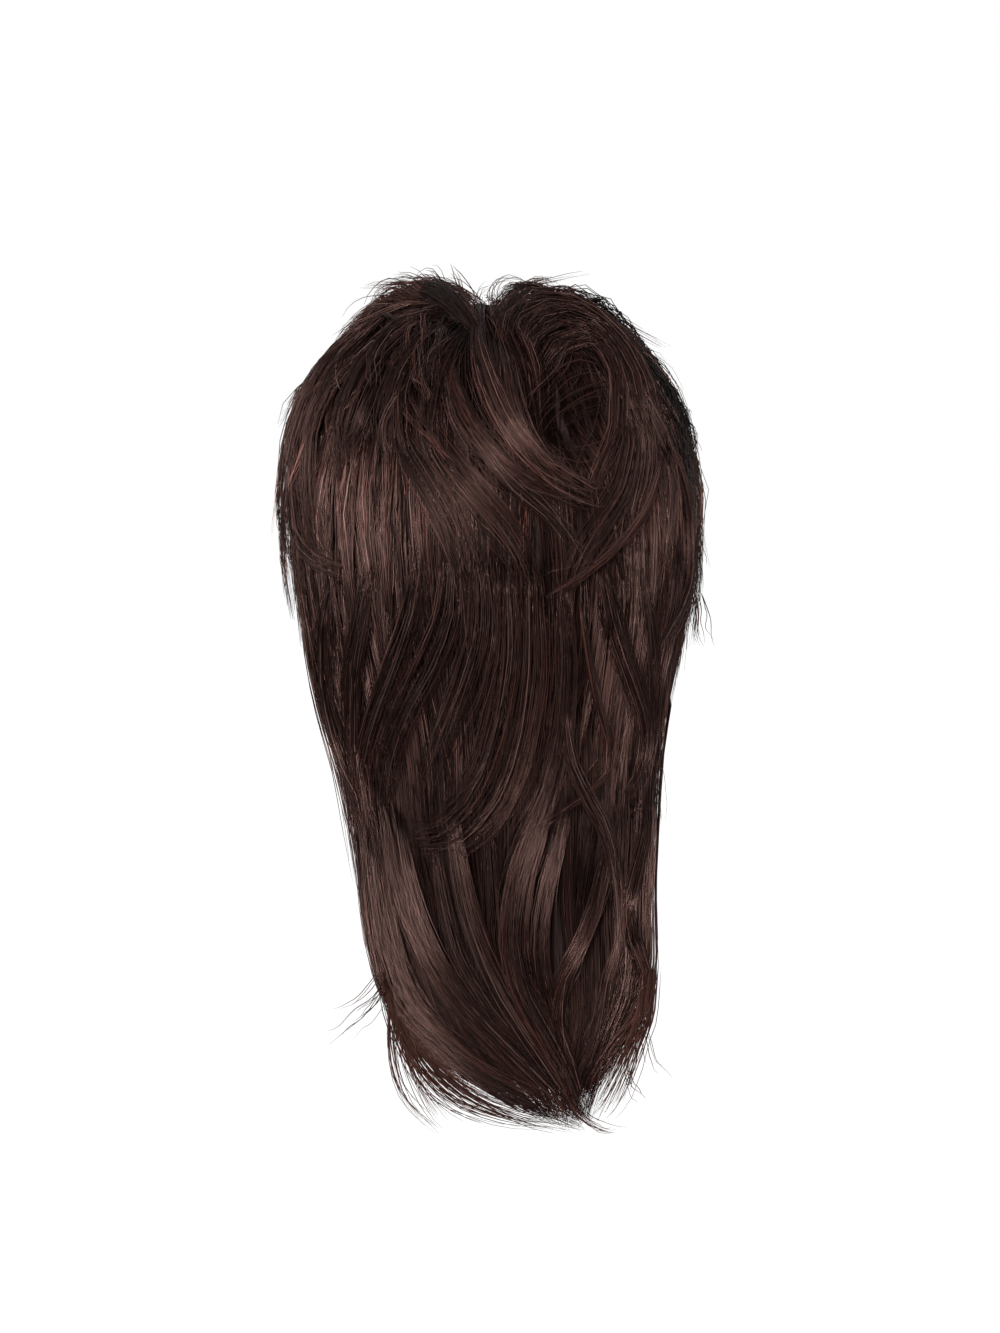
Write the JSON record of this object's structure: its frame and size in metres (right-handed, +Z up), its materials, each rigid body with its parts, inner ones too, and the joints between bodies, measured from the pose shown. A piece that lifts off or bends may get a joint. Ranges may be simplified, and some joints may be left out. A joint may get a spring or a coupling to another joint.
{
  "type": "mullet wig",
  "caption": "Dark brown mullet wig: a fitted cap with layered hair, short and raised at the top and sides, and long at the back, ending in one swept point.",
  "frame": {"origin": "the point inside the top of the cap that rests on the crown of the head", "axes": "+Z up, out of the crown; -Y towards the wearer's face; +X towards the wearer's left"},
  "size_m": [0.2231, 0.2416, 0.4509],
  "materials": {
    "hair": "dark brown synthetic hair with a soft sheen",
    "dark_hair": "near-black crimped synthetic hair",
    "cap_net": "matt elastic net"
  },
  "bodies": {
    "root": {"cap": "cap_net", "nape_hair": "hair", "back_hair": "hair", "crown_hair": "hair", "side_hair_left": "hair", "side_hair_right": "hair", "fringe": "hair", "top_hair_left": "hair", "top_hair_right": "hair", "front_hair": "hair", "swept_hair": "hair", "teased_hair": "dark_hair"}
  },
  "joints": []
}
